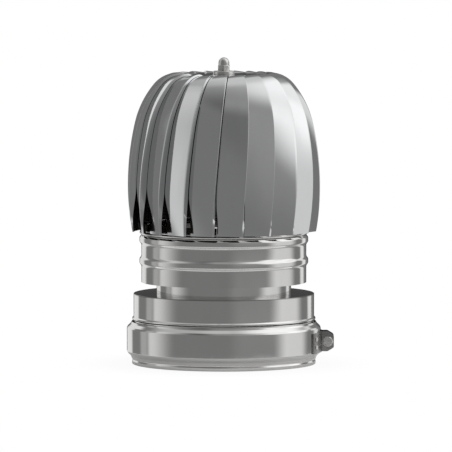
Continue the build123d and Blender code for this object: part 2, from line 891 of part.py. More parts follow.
def vane_section(share, radius, height, tilt):
    """One closed section of the vane's sheet, in a plane square to the ridge."""
    depth = edge_depth(share)
    reach = flange_share_foot + (1 - flange_share_foot) * closing(share)
    lean = flange_lean_foot + (flange_lean_crown - flange_lean_foot) * closing(share)
    half = face_width(share) / 2
    level = cos(radians(tilt))

    def place(angle, drop):
        across = (radius - drop * level) * sin(radians(angle))
        return (across, -drop - radius * (1 - cos(radians(angle))) * level)

    edge = place(-half, depth)
    ridge = place(half, 0.0)
    tip = place(half + lean, (depth - flange_clearance) * reach)
    rise = vane_bulge * depth / vane_depth
    run = (ridge[0] - edge[0], ridge[1] - edge[1])
    length = sqrt(run[0] ** 2 + run[1] ** 2)
    middle_point = (
        (edge[0] + ridge[0]) / 2 - rise * run[1] / length,
        (edge[1] + ridge[1]) / 2 + rise * run[0] / length,
    )
    low_edge = offset_end(middle_point, edge, -vane_wall)
    low_middle = offset_corner(edge, middle_point, ridge, vane_wall)
    low_ridge = offset_corner(middle_point, ridge, tip, vane_wall)
    low_tip = offset_end(ridge, tip, vane_wall)
    outline = Curve([
        ThreePointArc(edge, middle_point, ridge),
        Line(ridge, tip),
        Line(tip, low_tip),
        Line(low_tip, low_ridge),
        ThreePointArc(low_ridge, low_middle, low_edge),
        Line(low_edge, edge),
    ])
    middle = radians(ridge_azimuth(share, radius) - half)
    outward = Vector(sin(middle), -cos(middle), 0)
    normal = outward * level + Vector(0, 0, sin(radians(tilt)))
    tangent = Vector(cos(middle), sin(middle), 0)
    origin = outward * radius + Vector(0, 0, height)
    return make_face(Plane(origin=origin, x_dir=tangent, z_dir=tangent.cross(normal)) * outline)


def lug_section(height):
    """Level section of the lug: the leg stands on the tab, and its root is inside the vane's sheet."""
    run = lower_arc * (radians(foot_slope) - asin((equator_z - height) / lower_arc))
    radius, _, _ = ridge_point(run)
    share = run / ridge_length
    root = radius - vane_depth
    touch = ring_radius / cos(radians(lug_tab_angle / 2))
    swing = radians(lug_tab_angle)
    outline = Polyline(
        (lug_inset, root - lug_root_low),
        (lug_inset, sqrt(touch ** 2 - lug_inset ** 2)),
        (touch * sin(swing), touch * cos(swing)),
        ((touch + vane_wall) * sin(swing), (touch + vane_wall) * cos(swing)),
        (lug_inset + vane_wall, sqrt((touch + vane_wall) ** 2 - (lug_inset + vane_wall) ** 2)),
        (lug_inset + vane_wall, root + lug_root_high),
        close=True,
    )
    edge = radians(ridge_azimuth(share, radius) - face_width(share))
    outward = Vector(sin(edge), -cos(edge), 0)
    tangent = Vector(cos(edge), sin(edge), 0)
    return make_face(Plane(origin=(0, 0, height), x_dir=tangent, z_dir=tangent.cross(outward)) * outline)


def make_vane():
    """One vane, lofted from foot to crown, with a lug at its foot and a flat end at the crown."""
    sections = []
    for index in range(body_sections):
        share = index / (body_sections - 1)
        radius, height, slope = ridge_point(share * ridge_length)
        sections.append(vane_section(share, radius, height, slope))
    body = loft(sections)
    dip = [sections[-1]]
    for index in range(dip_sections):
        share = (index + 1) / dip_sections
        radius = crown_radius + (crown_dip_end - crown_radius) * share
        height = crown_z + (vane_end_z - crown_z) * (1 - cos(pi * share)) / 2
        dip.append(vane_section(1 + share * dip_run, radius, height, 90.0))
    end = [dip[-1], vane_section(1 + dip_run, vane_end_radius, vane_end_z, 90.0)]
    lug = loft([lug_section(vane_foot), lug_section(lug_top)], ruled=True)
    return body + loft(dip, ruled=True) + loft(end, ruled=True) + lug


# All pieces, one file each

os.makedirs("parts", exist_ok=True)
clamp_ear = make_clamp_ear()
pieces = {
    "adapter_ring": make_adapter_ring(),
    "outer_casing": make_outer_casing(),
    "top_plate": make_top_plate(),
    "inner_liner": make_inner_liner(),
    "insulation_retainer": make_insulation_retainer(),
    "insulation": make_insulation(),
    "locking_band": cut_rivet_holes(make_locking_band()),
    "clamp_ear_front": clamp_ear,
    "clamp_ear_rear": mirrored(clamp_ear),
    "ear_rivets": make_ear_rivets(),
    "clamp_bolt": make_clamp_bolt(),
    "clamp_nut": make_clamp_nut(),
    "clamp_washers": make_clamp_washers(),
    "neck_collar": make_neck_collar(),
    "closing_ring": make_closing_ring(),
    "bearing_bridge": make_bearing_bridge(),
    "bearing_housing": make_bearing_housing(),
    "housing_rivets": make_housing_rivets(),
    "bearing_outer_races": make_outer_races(),
    "circlips": make_circlips(),
    "bearing_inner_races": make_inner_races(),
    "bearing_balls": make_bearing_balls(),
    "ball_cages": make_ball_cages(),
    "rotor_shaft": make_rotor_shaft(),
    "lower_lock_nut": make_lower_lock_nut(),
    "bearing_spacer": make_bearing_spacer(),
    "rotor_sleeve": make_rotor_sleeve(),
    "crown_plate": make_crown_plate(),
    "crown_cap": make_crown_cap(),
    "crown_boss": make_crown_boss(),
    "dome_nut": make_dome_nut(),
    "rotor_ring": make_rotor_ring(),
}
vane = make_vane()
for index in range(vane_count):
    pieces[f"vane_{index + 1:02d}"] = Rot(0, 0, 360 * index / vane_count) * vane

for name, piece in pieces.items():
    export_step(piece, os.path.join("parts", name + ".step"))
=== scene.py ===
import math

import bmesh
import bpy
from mathutils import Matrix, Vector


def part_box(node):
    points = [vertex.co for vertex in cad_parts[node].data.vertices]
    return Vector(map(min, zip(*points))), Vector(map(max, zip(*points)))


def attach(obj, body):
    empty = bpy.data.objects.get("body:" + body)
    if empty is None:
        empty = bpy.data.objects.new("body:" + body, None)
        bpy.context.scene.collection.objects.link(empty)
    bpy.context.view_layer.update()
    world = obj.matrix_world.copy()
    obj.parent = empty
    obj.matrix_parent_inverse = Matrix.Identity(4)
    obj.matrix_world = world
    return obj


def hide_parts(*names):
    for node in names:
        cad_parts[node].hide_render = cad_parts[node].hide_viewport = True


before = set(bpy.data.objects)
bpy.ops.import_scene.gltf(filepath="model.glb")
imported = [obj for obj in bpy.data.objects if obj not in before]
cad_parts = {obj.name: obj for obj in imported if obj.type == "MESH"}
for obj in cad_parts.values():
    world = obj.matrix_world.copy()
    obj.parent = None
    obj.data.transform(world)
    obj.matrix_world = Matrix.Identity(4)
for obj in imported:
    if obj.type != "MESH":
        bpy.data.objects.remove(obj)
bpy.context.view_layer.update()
MM = 0.001


# Shader maths: one class wraps a socket, one builds a material's nodes

FIRST_COLOUR = 6
SECOND_COLOUR = 7
BLENDED_COLOUR = 2
UNSTRETCHED = (1.0, 1.0, 1.0)
WHITE = (1.0, 1.0, 1.0, 1.0)


class Value:
    """A node socket that takes part in Python expressions."""

    def __init__(self, finish, socket):
        self.finish = finish
        self.socket = socket

    def __add__(self, other):
        return self.finish.maths("ADD", self, other)

    def __sub__(self, other):
        return self.finish.maths("SUBTRACT", self, other)

    def __rsub__(self, other):
        return self.finish.maths("SUBTRACT", other, self)

    def __mul__(self, other):
        return self.finish.maths("MULTIPLY", self, other)

    def __pow__(self, other):
        return self.finish.maths("POWER", self, other)

    def __rpow__(self, other):
        return self.finish.maths("POWER", other, self)

    __radd__ = __add__
    __rmul__ = __mul__


class Finish:
    """A material, or the world, built from its nodes."""

    def __init__(self, name, owner=None):
        self.owner = owner or bpy.data.materials.new(name)
        self.owner.use_nodes = True
        self.tree = self.owner.node_tree
        self.tree.nodes.clear()

    def node(self, kind, settings=None, inputs=None):
        """One node: its settings first, then the values or links of its sockets."""
        made = self.tree.nodes.new(kind)
        for key, value in (settings or {}).items():
            setattr(made, key, value)
        for key, value in (inputs or {}).items():
            self.feed(made.inputs[key], value)
        return made

    def feed(self, socket, value):
        """Link a Value or set a plain number on a socket."""
        if isinstance(value, Value):
            self.tree.links.new(value.socket, socket)
        else:
            socket.default_value = value

    def out(self, made, name):
        """One output of a node as a Value."""
        return Value(self, made.outputs[name])

    def maths(self, operation, first, second=0.0, clamp=False):
        """One Math node over numbers or Values."""
        settings = {"operation": operation, "use_clamp": clamp}
        made = self.node("ShaderNodeMath", settings, {0: first, 1: second})
        return self.out(made, "Value")

    def smooth(self, value, start, end):
        """Soft step from 0 at the start to 1 at the end."""
        made = self.node(
            "ShaderNodeMapRange",
            {"interpolation_type": "SMOOTHSTEP"},
            {"Value": value, "From Min": start, "From Max": end},
        )
        return self.out(made, "Result")

    def place(self, scale):
        """Position on the object, in metres, stretched by a scale along each axis."""
        spot = self.out(self.node("ShaderNodeTexCoord"), "Object")
        made = self.node("ShaderNodeVectorMath", {"operation": "MULTIPLY"}, {0: spot, 1: scale})
        return self.out(made, "Vector")

    def noise(self, scale, detail, rough):
        """Noise between 0 and 1 over the stretched position."""
        inputs = {"Vector": self.place(scale), "Scale": 1.0, "Detail": detail, "Roughness": rough}
        return self.out(self.node("ShaderNodeTexNoise", None, inputs), "Fac")

    def colour(self, first, second, factor):
        """Blend of two colours."""
        inputs = {"Factor": factor, FIRST_COLOUR: (*first, 1.0), SECOND_COLOUR: (*second, 1.0)}
        return self.out(self.node("ShaderNodeMix", {"data_type": "RGBA"}, inputs), BLENDED_COLOUR)

    def bump(self, height, strength, distance):
        """Normal that follows a height from 0 to 1, which stands for a distance in metres."""
        inputs = {"Height": height, "Strength": strength, "Distance": distance}
        return self.out(self.node("ShaderNodeBump", None, inputs), "Normal")

    def surface(self, **sockets):
        """Principled surface with the given sockets, joined to the output."""
        inputs = {key.replace("_", " "): value for key, value in sockets.items()}
        made = self.node("ShaderNodeBsdfPrincipled", None, inputs)
        output = self.node("ShaderNodeOutputMaterial")
        self.tree.links.new(made.outputs["BSDF"], output.inputs["Surface"])
        return self.owner


# Finishes of the cowl


def darker(tint, share):
    """The tint at a share of its brightness."""
    return tuple(part * share for part in tint)


def polished_sheet(name, tint, rough, ripple):
    """Bright rolled stainless sheet: handling marks in the gloss, a fine rolled grain and slow ripples.

    Its two roughnesses are those of clean sheet and of a mark.
    """
    clean_rough, marked_rough = rough
    mark_shade = 0.6
    grain_shade = 0.15
    grain_rough = 0.03
    grain_height = 0.012
    finish = Finish(name)
    smudge = finish.noise((26.0, 26.0, 11.0), detail=4.0, rough=0.55)
    grain = finish.noise((900.0, 900.0, 35.0), detail=2.0, rough=0.6)
    wave = finish.noise((14.0, 14.0, 9.0), detail=1.0, rough=0.4)
    mark = finish.smooth(smudge, 0.42, 0.72)
    return finish.surface(
        Base_Color=finish.colour(tint, darker(tint, 0.93), mark * mark_shade + grain * grain_shade),
        Metallic=1.0,
        Roughness=mark * (marked_rough - clean_rough) + clean_rough + grain * grain_rough,
        Normal=finish.bump(wave + grain * grain_height, strength=1.0, distance=ripple),
    )


def turned_steel(name, tint, rough):
    """Turned or drawn steel: fine rings along its height and a mild variation of gloss."""
    stain_shade = 0.5
    stain_rough = 0.14
    finish = Finish(name)
    rings = finish.noise((40.0, 40.0, 4200.0), detail=2.0, rough=0.5)
    stain = finish.noise((120.0, 120.0, 120.0), detail=3.0, rough=0.5)
    return finish.surface(
        Base_Color=finish.colour(tint, darker(tint, 0.8), stain * stain_shade),
        Metallic=1.0,
        Roughness=stain * stain_rough + rough,
        Normal=finish.bump(rings, strength=0.35, distance=0.00004),
    )


def mineral_wool():
    """Matt, layered mineral wool."""
    deep = (0.42, 0.37, 0.22)
    pale = (0.62, 0.58, 0.42)
    fibre_share = 0.6
    layer_share = 0.4
    finish = Finish("mineral_wool")
    fibre = finish.noise((900.0, 900.0, 320.0), detail=5.0, rough=0.7)
    layer = finish.noise((60.0, 60.0, 500.0), detail=3.0, rough=0.5)
    return finish.surface(
        Base_Color=finish.colour(deep, pale, fibre * fibre_share + layer * layer_share),
        Roughness=0.95,
        Normal=finish.bump(fibre, strength=0.9, distance=0.0012),
    )


def shaded_flue_side(name, tint):
    """Inner side of a vane: the same sheet, dulled, with a dark tint that is painted shade for the inside of
    the head, darker still in random patches.
    """
    bare_rough = 0.34
    film_rough = 0.2
    finish = Finish(name)
    shade_noise = finish.noise((60.0, 60.0, 22.0), detail=4.0, rough=0.6)
    shade_patch = finish.smooth(shade_noise, 0.3, 0.7)
    return finish.surface(
        Base_Color=finish.colour(tint, darker(tint, 0.45), shade_patch),
        Metallic=1.0,
        Roughness=shade_patch * film_rough + bare_rough,
    )


VANE_STEEL = polished_sheet("vane_steel", (0.74, 0.745, 0.75), rough=(0.05, 0.1), ripple=0.00045)
# Painted shade: the inner sides of the vanes take a dark tint that stands for the shade inside the head.
VANE_INSIDE_SHADE = shaded_flue_side("vane_inside_painted_shade", (0.2, 0.195, 0.185))
SHELL_STEEL = polished_sheet("shell_steel", (0.77, 0.765, 0.755), rough=(0.06, 0.13), ripple=0.0003)
# Painted dark reflection: the lid is the same bright sheet with a dark tint that stands for the dark
# surroundings it mirrors.
LID_STEEL_PAINTED_DARK = polished_sheet("lid_steel_painted_dark", (0.34, 0.335, 0.325), rough=(0.1, 0.2), ripple=0.0004)
CLAMP_STEEL = polished_sheet("clamp_steel", (0.34, 0.335, 0.33), rough=(0.14, 0.3), ripple=0.0009)
FASTENER_STEEL = turned_steel("fastener_steel", (0.72, 0.715, 0.7), rough=0.16)
BEARING_STEEL = turned_steel("bearing_steel", (0.66, 0.66, 0.67), rough=0.2)
WOOL = mineral_wool()


# Mesh helpers

FOLD_ANGLE = 32.0
LATHE_STEPS = 288
SHORTEST_RUN = 0.001
LEAST_TURN = 0.01
ARC_SHARE = 0.49


def shade(mesh, fold_angle):
    """Smooth faces, with sharp edges where the sheet folds by more than the angle, in degrees."""
    for polygon in mesh.polygons:
        polygon.use_smooth = True
    mesh.set_sharp_from_angle(angle=math.radians(fold_angle))


def piece(name, points, faces, material, body, nodes, angle=FOLD_ANGLE, lining=None):
    """A mesh piece that rides on its body and replaces its nodes.

    A lining is a second material and the numbers of the faces that take it.
    """
    mesh = bpy.data.meshes.new(name)
    mesh.from_pydata(points, [], faces)
    mesh.validate()
    work = bmesh.new()
    work.from_mesh(mesh)
    bmesh.ops.recalc_face_normals(work, faces=work.faces)
    work.to_mesh(mesh)
    work.free()
    shade(mesh, angle)
    mesh.materials.append(material)
    if lining:
        mesh.materials.append(lining[0])
        for number in lining[1]:
            mesh.polygons[number].material_index = 1
    made = bpy.data.objects.new(name, mesh)
    bpy.context.scene.collection.objects.link(made)
    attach(made, body)
    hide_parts(*nodes)


def lathe(outline, segments=LATHE_STEPS, gap=0.0):
    """Points and faces of a closed (radius, height) outline in millimetres, turned about the flue axis.

    A gap in degrees, with its middle on the X axis, leaves the ring open between flat ends.
    """
    count = len(outline)
    turns = segments if not gap else segments + 1
    points = []
    for turn in range(turns):
        if gap:
            angle = math.radians(gap / 2 + (360 - gap) * turn / segments)
        else:
            angle = 2 * math.pi * turn / segments
        points += [
            (radius * math.cos(angle) * MM, radius * math.sin(angle) * MM, height * MM)
            for radius, height in outline
        ]
    faces = []
    for turn in range(segments):
        here = turn * count
        there = ((turn + 1) % turns) * count
        for index in range(count):
            after = (index + 1) % count
            faces.append((here + index, there + index, there + after, here + after))
    if gap:
        faces.append(tuple(range(count - 1, -1, -1)))
        faces.append(tuple(segments * count + index for index in range(count)))
    return points, faces


def tube_faces(rows, count, start=0):
    """Faces between rings of as many points each, one row of them from each ring to the next."""
    faces = []
    for row in range(rows):
        base = start + row * count
        for column in range(count):
            after = (column + 1) % count
            faces.append((base + column, base + after, base + count + after, base + count + column))
    return faces


def rounded(corners, steps=5):
    """A path through (x, y, radius) corners, each rounded by an arc of its radius."""
    path = []
    last = len(corners) - 1
    for index, (x, y, radius) in enumerate(corners):
        here = Vector((x, y))
        if index in (0, last) or radius <= 0:
            path.append(here)
            continue
        back = Vector(corners[index - 1][:2]) - here
        ahead = Vector(corners[index + 1][:2]) - here
        if min(back.length, ahead.length) < SHORTEST_RUN:
            continue
        turn = math.pi - back.angle(ahead)
        if turn < LEAST_TURN:
            path.append(here)
            continue
        reach = min(radius * math.tan(turn / 2), back.length * ARC_SHARE, ahead.length * ARC_SHARE)
        start = here + back.normalized() * reach
        end = here + ahead.normalized() * reach
        true_radius = reach / math.tan(turn / 2)
        inward = (back.normalized() + ahead.normalized()).normalized()
        centre = here + inward * true_radius / math.cos(turn / 2)
        first = start - centre
        swing = first.angle_signed(end - centre)
        for step in range(steps + 1):
            spoke = first.copy()
            spoke.rotate(Matrix.Rotation(-swing * step / steps, 2))
            path.append(centre + spoke)
    return path


def closed_outline(corners, steps=5):
    """Outline of a ring from its rounded corners, the last of which is the first again."""
    return [tuple(point) for point in rounded(corners, steps)[:-1]]


def offset_path(path, wall):
    """The path moved to its left by the wall, with its corners kept square."""
    moved = []
    last = len(path) - 1
    for index, here in enumerate(path):
        back = (here - path[index - 1]).normalized() if index else (path[1] - here).normalized()
        ahead = (path[index + 1] - here).normalized() if index < last else back
        scale = wall / (1 + back.dot(ahead))
        moved.append(here + Vector((-back.y - ahead.y, back.x + ahead.x)) * scale)
    return moved


def sheet_outline(path, wall, folded=None):
    """Closed outline of a sheet: the path is its outer side, and the wall lies to its left.

    The folded path, where it is given, is the same path with square folds, for the inner side.
    """
    inner = offset_path(folded or path, wall)
    return [tuple(point) for point in path] + [tuple(point) for point in reversed(inner)]


def low(node):
    """Lowest corner of a node's box, in millimetres."""
    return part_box(node)[0] / MM


def high(node):
    """Highest corner of a node's box, in millimetres."""
    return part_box(node)[1] / MM


# Sizes in millimetres: first those that the frame gives

collar_top = high("neck_collar").z
collar_foot = low("neck_collar").z
casing_top = high("outer_casing").z
casing_foot = low("outer_casing").z
lid_top = high("top_plate").z
lid_radius = high("top_plate").x
band_radius = high("locking_band").y
band_foot = low("locking_band").z
band_top = high("locking_band").z
ring_foot = low("rotor_ring").z
ring_top = high("rotor_ring").z
cap_top = high("crown_cap").z
cap_radius = high("crown_cap").x
boss_foot = low("crown_boss").z
nut_foot = low("dome_nut").z
nut_top = high("dome_nut").z

sheet_wall = 0.8
liner_wall = 0.6
joint_depth = 0.9
joint_crest = band_radius - joint_depth
ring_radius = 90.2
crown_bore = 4.05


# Flue end, from the collar down to the foot


def bead(radius, crest, middle, half):
    """Corners of a rolled bead: a flank, a rounded crest and the other flank."""
    flank_share = 0.55
    crest_half = half * (1 - flank_share)
    foot_round = half * 0.8
    crest_round = half * 0.55
    return [
        (radius, middle - half, foot_round),
        (crest, middle - crest_half, crest_round),
        (crest, middle + crest_half, crest_round),
        (radius, middle + half, foot_round),
    ]


def make_collar():
    """Fixed collar with its two rolled beads."""
    radius = 91.3
    bead_rise = 1.9
    rounding_loss = 0.25
    bead_half = 5.3
    lower_bead_z = 114.2
    upper_bead_z = 137.9
    crest = radius + bead_rise + rounding_loss
    path = rounded(
        [(radius, collar_foot, 0)]
        + bead(radius, crest, lower_bead_z, bead_half)
        + bead(radius, crest, upper_bead_z, bead_half)
        + [(radius, collar_top, 0)]
    )
    points, faces = lathe(sheet_outline(path, sheet_wall))
    piece("collar_shell", points, faces, SHELL_STEEL, "base", ["neck_collar"])


def make_casing():
    """Casing wall with the bead over the band and the joint bead hidden under it."""
    joint_run = 4.0
    joint_round = 3.0
    joint_top = 40.8
    joint_end_round = 1.0
    bead_z = 50.4
    bead_rise = 1.5
    bead_half = 2.0
    crest_half = 0.7
    bead_round = 0.9
    path = rounded([
        (lid_radius, casing_foot, 0),
        (joint_crest, casing_foot + joint_run, joint_round),
        (joint_crest, joint_top - joint_run, joint_round),
        (lid_radius, joint_top, joint_end_round),
        (lid_radius, bead_z - bead_half, bead_round),
        (lid_radius + bead_rise, bead_z - crest_half, bead_round),
        (lid_radius + bead_rise, bead_z + crest_half, bead_round),
        (lid_radius, bead_z + bead_half, bead_round),
        (lid_radius, casing_top, 0),
    ])
    points, faces = lathe(sheet_outline(path, sheet_wall))
    piece("casing_shell", points, faces, SHELL_STEEL, "base", ["outer_casing"])


def make_adapter():
    """Lower socket with its hemmed rim and the joint bead that the band holds."""
    socket = 100.2
    outer = socket + sheet_wall
    lead_in = 0.3
    hem_radius = 101.7
    hem_edge = 0.4
    hem_foot = 0.5
    hem_top = 3.4
    hem_top_round = 0.5
    hem_end = 5.0
    hem_end_round = 0.8
    outer_bend = 13.4
    inner_bend = 13.2
    bend_round = 1.0
    joint_foot = 17.5
    joint_top = 23.0
    joint_round = 3.0
    inner_joint_foot = 17.9
    inner_joint_top = 22.6
    inner_joint_round = 2.4
    top = 26.6
    outline = closed_outline([
        (socket, hem_edge, 0),
        (socket + lead_in, 0.0, 0),
        (hem_radius - hem_edge, 0.0, hem_edge),
        (hem_radius, hem_foot, hem_edge),
        (hem_radius, hem_top, hem_top_round),
        (outer, hem_end, hem_end_round),
        (outer, outer_bend, bend_round),
        (joint_crest, joint_foot, joint_round),
        (joint_crest, joint_top, joint_round),
        (outer, top, 0),
        (socket, top, 0),
        (joint_crest - sheet_wall, inner_joint_top, inner_joint_round),
        (joint_crest - sheet_wall, inner_joint_foot, inner_joint_round),
        (socket, inner_bend, bend_round),
        (socket, hem_edge, 0),
    ])
    points, faces = lathe(outline)
    piece("socket_rim", points, faces, SHELL_STEEL, "base", ["adapter_ring"])


def make_band():
    """Locking band: flat middle, conical shoulders and a turned lip at each edge."""
    opening = 14.0
    lower_lip = 101.9
    upper_lip = 102.2
    shoulder = 103.1
    lower_shoulder_z = 9.0
    upper_shoulder_z = 45.0
    edge_depth_in = 1.1
    lower_edge_z = 12.3
    upper_edge_z = 41.9
    flat_foot = 14.2
    flat_top = 40.0
    shoulder_round = 1.4
    flat_top_round = 1.2
    path = rounded([
        (lower_lip, band_foot, 0),
        (shoulder, lower_shoulder_z, shoulder_round),
        (band_radius - edge_depth_in, lower_edge_z, shoulder_round),
        (band_radius, flat_foot, shoulder_round),
        (band_radius, flat_top, flat_top_round),
        (band_radius - edge_depth_in, upper_edge_z, flat_top_round),
        (shoulder, upper_shoulder_z, shoulder_round),
        (upper_lip, band_top, 0),
    ], steps=6)
    gap = math.degrees(opening / band_radius)
    points, faces = lathe(sheet_outline(path, sheet_wall), gap=gap)
    piece("band_shell", points, faces, SHELL_STEEL, "base", ["locking_band"])


def make_lid():
    """Lid with a rounded edge, and its skirt inside the casing."""
    hole = 74.6
    edge_round = 1.0
    skirt_clearance = 0.1
    skirt_depth = 9.0
    skirt = lid_radius - sheet_wall - skirt_clearance
    skirt_foot = casing_top - skirt_depth
    underside = lid_top - sheet_wall
    outline = closed_outline([
        (hole, underside, 0),
        (hole, lid_top, 0),
        (lid_radius, lid_top, edge_round),
        (lid_radius, casing_top, 0),
        (skirt, casing_top, 0),
        (skirt, skirt_foot, 0),
        (skirt - sheet_wall, skirt_foot, 0),
        (skirt - sheet_wall, underside, 0),
        (hole, underside, 0),
    ], steps=8)
    points, faces = lathe(outline)
    piece("lid_plate", points, faces, LID_STEEL_PAINTED_DARK, "base", ["top_plate"])


def make_liner():
    """Neck pipe of the flue, with the socket at its foot."""
    pipe_radius = 74.5
    socket_radius = 75.7
    socket_depth = 40.0
    cone_end = 44.0
    cone_round = 1.5
    foot = low("inner_liner").z
    path = rounded([
        (socket_radius, foot, 0),
        (socket_radius, foot + socket_depth, cone_round),
        (pipe_radius, foot + cone_end, cone_round),
        (pipe_radius, high("inner_liner").z, 0),
    ])
    points, faces = lathe(sheet_outline(path, liner_wall))
    piece("neck_pipe", points, faces, SHELL_STEEL, "base", ["inner_liner"])


# Foot ring of the head


def make_rotor_ring():
    """Foot ring of the head, its lower edge rolled outward round a wire."""
    roll = 1.55
    roll_offset = 1.45
    roll_start = 159.3
    roll_turn = 249.3
    roll_steps = 20
    toe_reach = 0.5
    toe_rise = 0.25
    middle_radius = ring_radius + roll_offset
    middle_z = ring_foot + roll
    outline = [(ring_radius - sheet_wall, ring_top), (ring_radius, ring_top)]
    for step in range(roll_steps + 1):
        swing = math.radians(roll_start - roll_turn * step / roll_steps)
        outline.append((middle_radius + roll * math.cos(swing), middle_z + roll * math.sin(swing)))
    outline += [
        (ring_radius, ring_foot),
        (ring_radius - toe_reach, ring_foot + toe_rise),
        (ring_radius - sheet_wall, ring_foot + sheet_wall),
    ]
    points, faces = lathe(outline)
    piece("foot_ring", points, faces, SHELL_STEEL, "rotor", ["rotor_ring"])


# Vanes: the frame's own ridge line, folded sheet and foot lug, at a finer step
# Lengths are in millimetres and angles in degrees; a share runs from 0 at the foot to 1 at the crown

HEAD_RADIUS = 107.0
EQUATOR_Z = 195.0
LOWER_ARC = 270.0
RIDGE_ARCS = [(315.0, 13.2), (105.6, 39.7), (33.0, 90.0)]
RIDGE_STEPS = 96
DIP_END = 40.5
DIP_RUN = 0.06
DIP_STEPS = 12
VANE_COUNT = 20
VANE_WALL = 0.6
VANE_DEPTH = 8.0
CROWN_DEPTH = 1.0
VANE_FOOT = 147.2
VANE_END_Z = 319.4
VANE_END_RADIUS = 24.0
END_STEPS = 3
VANE_FOLD_ANGLE = 40.0
CLOSED_SHARE = 0.27
RIDGE_START = 10.6
RIDGE_TWIST = 8.4
CROWN_TWIST = 3.9
FACE_FOOT = 15.3
FACE_GAIN = 1.9
FACE_RISE = 0.3
FACE_STEPS = 10
FLANGE_FOOT = 0.1
FLANGE_TRIM = 0.2
FLANGE_LEAN = 1.4
LEAN_LOSS = 1.0
RIDGE_ROUND = 0.35
ROUND_STEPS = 4
LUG_TOP = 155.6
LUG_TAB_ANGLE = 2.7
LUG_GAP = 0.25
LUG_LAP = 0.2
LUG_SETBACK = 0.05

foot_slope = math.asin((EQUATOR_Z - VANE_FOOT) / LOWER_ARC)
arc_lengths = [LOWER_ARC * foot_slope]
previous_end = 0.0
for arc, end in RIDGE_ARCS:
    arc_lengths.append(arc * math.radians(end - previous_end))
    previous_end = end
ridge_length = sum(arc_lengths)
equator_share = arc_lengths[0] / ridge_length


def ridge_point(share):
    """Radius, height and tilt of the section at a share of the ridge's length."""
    run = share * ridge_length
    if run <= arc_lengths[0]:
        slope = foot_slope - run / LOWER_ARC
        radius = HEAD_RADIUS - LOWER_ARC * (1 - math.cos(slope))
        return radius, EQUATOR_Z - LOWER_ARC * math.sin(slope), 0.0
    run -= arc_lengths[0]
    radius, height, slope = HEAD_RADIUS, EQUATOR_Z, 0.0
    for arc, end in RIDGE_ARCS:
        stop = math.radians(end)
        reach = min(stop, slope + run / arc)
        radius += arc * (math.cos(reach) - math.cos(slope))
        height += arc * (math.sin(reach) - math.sin(slope))
        if reach < stop:
            return radius, height, reach
        run -= arc * (stop - slope)
        slope = stop
    return radius, height, slope


def closing(share):
    """How far the slot between two vanes has closed: 0 at the foot, 1 from the waist up."""
    return math.sin(math.pi / 2 * min(1.0, share / CLOSED_SHARE)) ** 2


def ridge_azimuth(share, radius):
    """Azimuth of the ridge of the vane that starts at the front: it turns as the vane rises."""
    return RIDGE_START + RIDGE_TWIST * share + CROWN_TWIST * (HEAD_RADIUS / radius - 1)


def face_width(share):
    """Angle that a vane's face spans, wider where the slots close."""
    return FACE_FOOT + FACE_GAIN * closing(share)


def edge_depth(share):
    """Depth of a vane's inner edge below its ridge."""
    if share <= equator_share:
        return VANE_DEPTH
    fall = math.cos(math.pi / 2 * min(1.0, (share - equator_share) / (1 + DIP_RUN - equator_share)))
    return CROWN_DEPTH + (VANE_DEPTH - CROWN_DEPTH) * fall


def vane_ring(share, radius, height, tilt, turn):
    """Points round one section of a vane's sheet, in metres: the outer side first, then the inner."""
    depth = edge_depth(share)
    reach = FLANGE_FOOT + (1 - FLANGE_FOOT) * closing(share)
    lean = FLANGE_LEAN - LEAN_LOSS * closing(share)
    half = face_width(share) / 2
    level = math.cos(tilt)

    def spot(angle, drop):
        """Point of the section at an angle from the face's middle and a drop below the ridge."""
        across = (radius - drop * level) * math.sin(math.radians(angle))
        return Vector((across, -drop - radius * (1 - math.cos(math.radians(angle))) * level))

    edge = spot(-half, depth)
    ridge = spot(half, 0.0)
    tip = spot(half + lean, (depth - FLANGE_TRIM) * reach)
    rise = FACE_RISE * depth / VANE_DEPTH
    run = ridge - edge
    out = Vector((-run.y, run.x)).normalized()
    shares = [step / FACE_STEPS for step in range(FACE_STEPS)]
    face = [edge + run * part + out * rise * 4 * part * (1 - part) for part in shares]
    folded = face + [ridge, tip]
    path = rounded([(*point, 0) for point in face] + [(*ridge, RIDGE_ROUND), (*tip, 0)], ROUND_STEPS)
    outline = sheet_outline(path, -VANE_WALL, folded)
    middle = math.radians(ridge_azimuth(share, radius) - half + turn)
    outward = Vector((math.sin(middle), -math.cos(middle), 0))
    normal = outward * level + Vector((0, 0, math.sin(tilt)))
    tangent = Vector((math.cos(middle), math.sin(middle), 0))
    origin = outward * radius + Vector((0, 0, height))
    return [(origin + tangent * x + normal * y) * MM for x, y in outline]


def lug_ring(height, turn):
    """Level section of a vane's foot lug: a leg from the inner edge to the foot ring, and a tab on it."""
    share = LOWER_ARC * (foot_slope - math.asin((EQUATOR_Z - height) / LOWER_ARC)) / ridge_length
    radius = ridge_point(share)[0]
    root = radius - VANE_DEPTH
    touch = ring_radius / math.cos(math.radians(LUG_TAB_ANGLE / 2))
    swing = math.radians(LUG_TAB_ANGLE)
    near, far = LUG_GAP, LUG_GAP + VANE_WALL
    outline = [
        (near, root - LUG_LAP),
        (near, math.sqrt(touch ** 2 - near ** 2)),
        (touch * math.sin(swing), touch * math.cos(swing)),
        ((touch + VANE_WALL) * math.sin(swing), (touch + VANE_WALL) * math.cos(swing)),
        (far, math.sqrt((touch + VANE_WALL) ** 2 - far ** 2)),
        (far, root + LUG_SETBACK),
    ]
    edge = math.radians(ridge_azimuth(share, radius) - face_width(share) + turn)
    outward = Vector((math.sin(edge), -math.cos(edge), 0))
    tangent = Vector((math.cos(edge), math.sin(edge), 0))
    return [(tangent * x + outward * y + Vector((0, 0, height))) * MM for x, y in outline]


